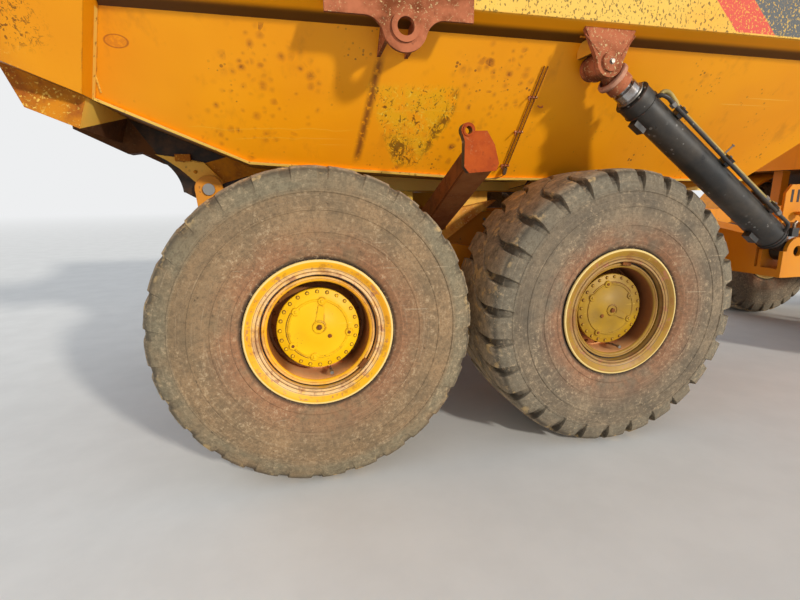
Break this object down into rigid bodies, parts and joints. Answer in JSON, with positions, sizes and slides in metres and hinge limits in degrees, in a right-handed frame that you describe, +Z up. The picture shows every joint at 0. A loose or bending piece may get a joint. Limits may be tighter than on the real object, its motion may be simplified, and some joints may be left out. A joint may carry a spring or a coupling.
{
  "type": "articulated dump truck",
  "caption": "Articulated dump truck: tipping body on a walking-beam bogie, oscillating hitch, tractor with cab.",
  "frame": {"origin": "on the ground under the middle of the truck's length and width", "axes": "+X the way it drives, +Y its left side, +Z up"},
  "size_m": [11.091, 3.468, 3.745],
  "materials": {
    "tyre_rubber": "dusty, worn",
    "window_glass": "tinted",
    "cylinder_black": "satin",
    "rod_chrome": "polished",
    "rusty_steel": "rusted",
    "bare_steel": "worn",
    "seat_fabric": "woven",
    "black_plastic": "matte",
    "black_paint": "satin",
    "lamp_glass": "clear",
    "body_yellow": "satin, scratched, rust spots",
    "frame_yellow": "satin, dusty"
  },
  "bodies": {
    "chassis": {"rear_frame": "frame_yellow", "body_pivot_pins": "bare_steel", "bogie_axles": "frame_yellow", "equalizer_beams": "frame_yellow", "rear_drive_shafts": "bare_steel", "anchor_arms": "frame_yellow"},
    "tipper": {"dump_body": "body_yellow", "body_bolsters": "frame_yellow", "tailgate_pivot_plates": "rusty_steel", "hoist_brackets": "rusty_steel"},
    "hitch": {"hitch_head": "frame_yellow"},
    "tractor": {"front_frame": "frame_yellow", "front_axle": "frame_yellow", "engine_block": "black_paint", "bumper": "black_paint", "head_lamps": "lamp_glass", "cab_shell": "body_yellow", "cab_glass": "window_glass", "seat": "seat_fabric", "steering_column": "black_plastic", "mudguards": "body_yellow", "ladders": "black_paint", "tanks": "frame_yellow", "exhaust_stack": "rusty_steel", "mirrors": "black_plastic"},
    "bonnet": {"hood": "body_yellow", "grille": "black_plastic"},
    "door": {"cab_door": "body_yellow", "door_glass": "window_glass"},
    "hoist_barrel_left_body": {"hoist_barrel_left": "cylinder_black"},
    "hoist_stage_left_body": {"hoist_stage_left": "rod_chrome"},
    "hoist_rod_left_body": {"hoist_rod_left": "rod_chrome"},
    "steering_barrel_left_body": {"steering_barrel_left": "cylinder_black"},
    "steering_rod_left_body": {"steering_rod_left": "rod_chrome"},
    "hoist_barrel_right_body": {"hoist_barrel_right": "cylinder_black"},
    "hoist_stage_right_body": {"hoist_stage_right": "rod_chrome"},
    "hoist_rod_right_body": {"hoist_rod_right": "rod_chrome"},
    "steering_barrel_right_body": {"steering_barrel_right": "cylinder_black"},
    "steering_rod_right_body": {"steering_rod_right": "rod_chrome"},
    "wheel_rear_left": {"tyre_rear_left": "tyre_rubber", "rim_rear_left": "frame_yellow"},
    "wheel_rear_right": {"tyre_rear_right": "tyre_rubber", "rim_rear_right": "frame_yellow"},
    "wheel_middle_left": {"tyre_middle_left": "tyre_rubber", "rim_middle_left": "frame_yellow"},
    "wheel_middle_right": {"tyre_middle_right": "tyre_rubber", "rim_middle_right": "frame_yellow"},
    "wheel_front_left": {"tyre_front_left": "tyre_rubber", "rim_front_left": "frame_yellow"},
    "wheel_front_right": {"tyre_front_right": "tyre_rubber", "rim_front_right": "frame_yellow"}
  },
  "joints": [
    {"name": "oscillate", "type": "hinge", "parent": "chassis", "child": "hitch", "pos_m": [1.1645, 0, 1.23], "axis": [1, 0, 0], "range_deg": [-15, 15]},
    {"name": "articulate", "type": "hinge", "parent": "hitch", "child": "tractor", "pos_m": [1.1645, 0, 1.23], "axis": [0, 0, -1], "range_deg": [-45, 45]},
    {"name": "tip_body", "type": "hinge", "parent": "chassis", "child": "tipper", "pos_m": [-4.5455, 0, 1.74], "axis": [0, -1, 0], "range_deg": [0, 70]},
    {"name": "open_hood", "type": "hinge", "parent": "tractor", "child": "bonnet", "pos_m": [3.4245, 0, 2.64], "axis": [0, -1, 0], "range_deg": [0, 50]},
    {"name": "open_door", "type": "hinge", "parent": "tractor", "child": "door", "pos_m": [2.0125, 0.85, 2.7], "axis": [0, 0, 1], "range_deg": [0, 80]},
    {"name": "hoist_swing_left", "type": "hinge", "parent": "chassis", "child": "hoist_barrel_left_body", "pos_m": [-0.4655, 1.56, 1.288], "axis": [0, -1, 0], "range_deg": [-10, 4]},
    {"name": "hoist_stage_left", "type": "slide", "parent": "hoist_barrel_left_body", "child": "hoist_stage_left_body", "axis": [-0.8207, 0, 0.5713], "range_m": [0, 1.441]},
    {"name": "hoist_rod_left", "type": "slide", "parent": "hoist_stage_left_body", "child": "hoist_rod_left_body", "axis": [-0.8207, 0, 0.5713], "range_m": [0, 1.441]},
    {"name": "steer_swing_left", "type": "hinge", "parent": "tractor", "child": "steering_barrel_left_body", "pos_m": [2.3645, 0.66, 1.23], "axis": [0, 0, 1], "range_deg": [-12, 12]},
    {"name": "steer_rod_left", "type": "slide", "parent": "steering_barrel_left_body", "child": "steering_rod_left_body", "axis": [-0.9954, -0.0961, 0], "range_m": [-0.396, 0.396]},
    {"name": "hoist_swing_right", "type": "hinge", "parent": "chassis", "child": "hoist_barrel_right_body", "pos_m": [-0.4655, -1.56, 1.288], "axis": [0, -1, 0], "range_deg": [-10, 4]},
    {"name": "hoist_stage_right", "type": "slide", "parent": "hoist_barrel_right_body", "child": "hoist_stage_right_body", "axis": [-0.8207, 0, 0.5713], "range_m": [0, 1.441]},
    {"name": "hoist_rod_right", "type": "slide", "parent": "hoist_stage_right_body", "child": "hoist_rod_right_body", "axis": [-0.8207, 0, 0.5713], "range_m": [0, 1.441]},
    {"name": "steer_swing_right", "type": "hinge", "parent": "tractor", "child": "steering_barrel_right_body", "pos_m": [2.3645, -0.66, 1.23], "axis": [0, 0, -1], "range_deg": [-12, 12]},
    {"name": "steer_rod_right", "type": "slide", "parent": "steering_barrel_right_body", "child": "steering_rod_right_body", "axis": [-0.9954, 0.0961, 0], "range_m": [-0.396, 0.396]},
    {"name": "roll_rear_left", "type": "hinge", "parent": "chassis", "child": "wheel_rear_left", "pos_m": [-3.8855, 1.3435, 0.93], "axis": [0, 1, 0], "continuous": true},
    {"name": "roll_rear_right", "type": "hinge", "parent": "chassis", "child": "wheel_rear_right", "pos_m": [-3.8855, -1.3435, 0.93], "axis": [0, 1, 0], "continuous": true},
    {"name": "roll_middle_left", "type": "hinge", "parent": "chassis", "child": "wheel_middle_left", "pos_m": [-1.9195, 1.3435, 0.93], "axis": [0, 1, 0], "continuous": true},
    {"name": "roll_middle_right", "type": "hinge", "parent": "chassis", "child": "wheel_middle_right", "pos_m": [-1.9195, -1.3435, 0.93], "axis": [0, 1, 0], "continuous": true},
    {"name": "roll_front_left", "type": "hinge", "parent": "tractor", "child": "wheel_front_left", "pos_m": [2.6705, 1.3435, 0.93], "axis": [0, 1, 0], "continuous": true},
    {"name": "roll_front_right", "type": "hinge", "parent": "tractor", "child": "wheel_front_right", "pos_m": [2.6705, -1.3435, 0.93], "axis": [0, 1, 0], "continuous": true}
  ],
  "couplings": [
    {"joint": "hoist_swing_left", "follows": "tip_body", "ratio": -0.03082},
    {"joint": "hoist_stage_left", "follows": "tip_body", "m_per_rad": 1.1779},
    {"joint": "hoist_rod_left", "follows": "tip_body", "m_per_rad": 1.1779},
    {"joint": "steer_swing_left", "follows": "articulate", "ratio": 0.09466},
    {"joint": "steer_rod_left", "follows": "articulate", "m_per_rad": 0.50342},
    {"joint": "hoist_swing_right", "follows": "tip_body", "ratio": -0.03082},
    {"joint": "hoist_stage_right", "follows": "tip_body", "m_per_rad": 1.1779},
    {"joint": "hoist_rod_right", "follows": "tip_body", "m_per_rad": 1.1779},
    {"joint": "steer_swing_right", "follows": "articulate", "ratio": -0.09466},
    {"joint": "steer_rod_right", "follows": "articulate", "m_per_rad": -0.50342}
  ]
}
